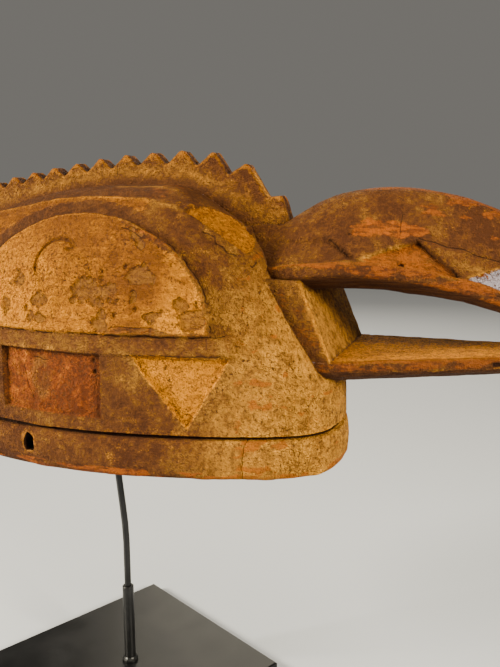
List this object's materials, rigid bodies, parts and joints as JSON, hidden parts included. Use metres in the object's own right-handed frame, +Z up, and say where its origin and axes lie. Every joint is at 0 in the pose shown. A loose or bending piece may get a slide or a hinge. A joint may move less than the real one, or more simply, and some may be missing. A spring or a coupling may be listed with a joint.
{
  "type": "bird crest mask",
  "caption": "Carved wooden helmet mask with a saw-toothed crest and a long open beak, painted in earth colours, held up on a bent rod over a flat square base.",
  "frame": {"origin": "centre of the base plate's underside", "axes": "+X the way the beak points, +Z up, +Y to the bird's left"},
  "size_m": [0.5747, 0.256, 0.4605],
  "materials": {
    "painted_wood": "hand-carved wood under cracked, flaking and worn earth paint",
    "blackened_steel": "satin black",
    "black_plate": "smooth satin black lacquer"
  },
  "bodies": {
    "root": {"mask": "painted_wood", "cradle_rod": "blackened_steel", "socket_tube": "blackened_steel", "base_plate": "black_plate"}
  },
  "joints": []
}
